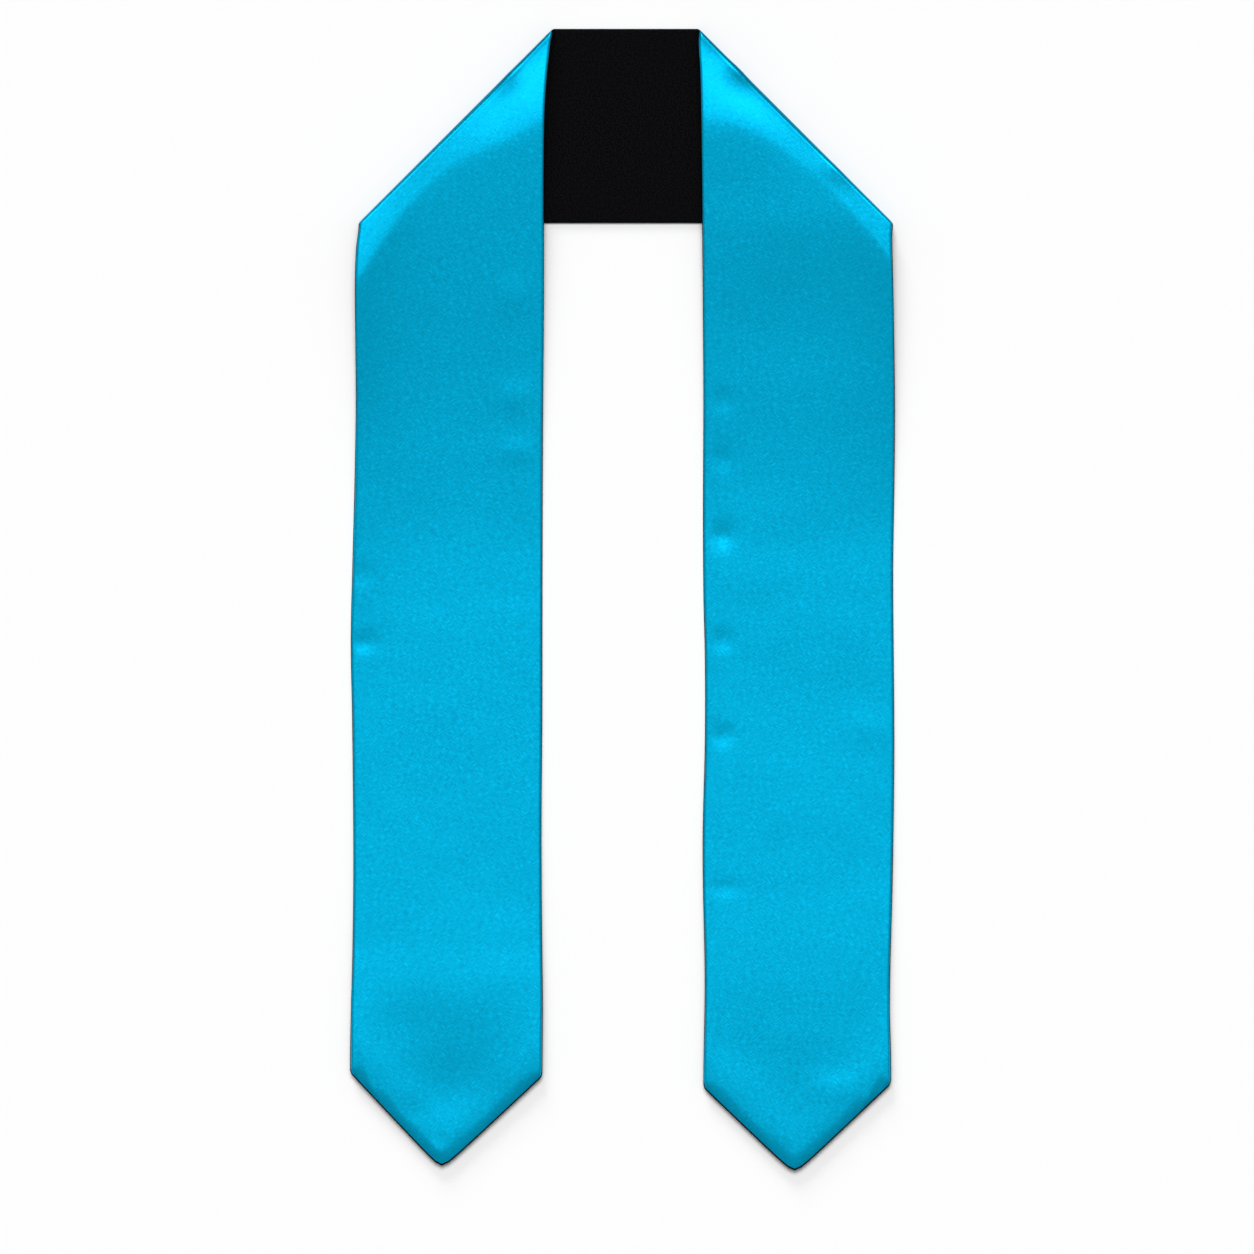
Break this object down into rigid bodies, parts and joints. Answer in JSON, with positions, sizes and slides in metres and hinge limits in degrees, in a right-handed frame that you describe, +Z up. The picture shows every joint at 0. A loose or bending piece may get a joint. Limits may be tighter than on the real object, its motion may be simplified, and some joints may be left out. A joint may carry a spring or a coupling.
{
  "type": "graduation stole",
  "caption": "Long satin stole with a contrast lining, laid flat: a neck panel, a 45 degree fold at each shoulder and hanging ends that finish in points.",
  "frame": {"origin": "middle of the footprint, on the surface that the stole lies on", "axes": "+Y runs from the points up to the neck, +X across the wearer from the left leg to the right leg as seen from above, +Z up from the surface"},
  "size_m": [0.4072, 0.8546, 0.0136],
  "materials": {
    "satin": "turquoise blue polyester satin with a soft gloss",
    "lining": "black woven lining, close to matt"
  },
  "bodies": {
    "root": {"satin_face": "satin", "black_lining": "lining"}
  },
  "joints": []
}
